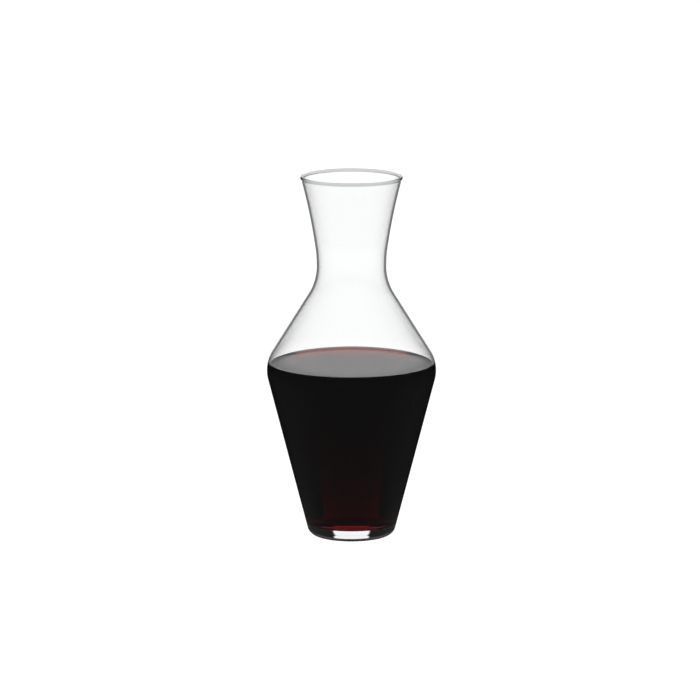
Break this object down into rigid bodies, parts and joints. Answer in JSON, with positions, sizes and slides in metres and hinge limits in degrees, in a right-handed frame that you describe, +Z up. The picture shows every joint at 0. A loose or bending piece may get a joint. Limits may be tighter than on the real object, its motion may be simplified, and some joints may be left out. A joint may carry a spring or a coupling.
{
  "type": "wine decanter",
  "caption": "Clear glass wine decanter with a flared neck, narrow waist, sloping shoulder and tapering body on a thick base, filled with red wine to its widest ring.",
  "frame": {"origin": "centre of the base, at the level of the surface that the decanter stands on", "axes": "+Z up along the decanter's axis of revolution; every direction round the axis is alike"},
  "size_m": [0.1212, 0.1212, 0.26],
  "materials": {
    "clear_glass": "polished",
    "red_wine": "gloss"
  },
  "bodies": {
    "root": {"glass_vessel": "clear_glass", "wine": "red_wine"}
  },
  "joints": []
}
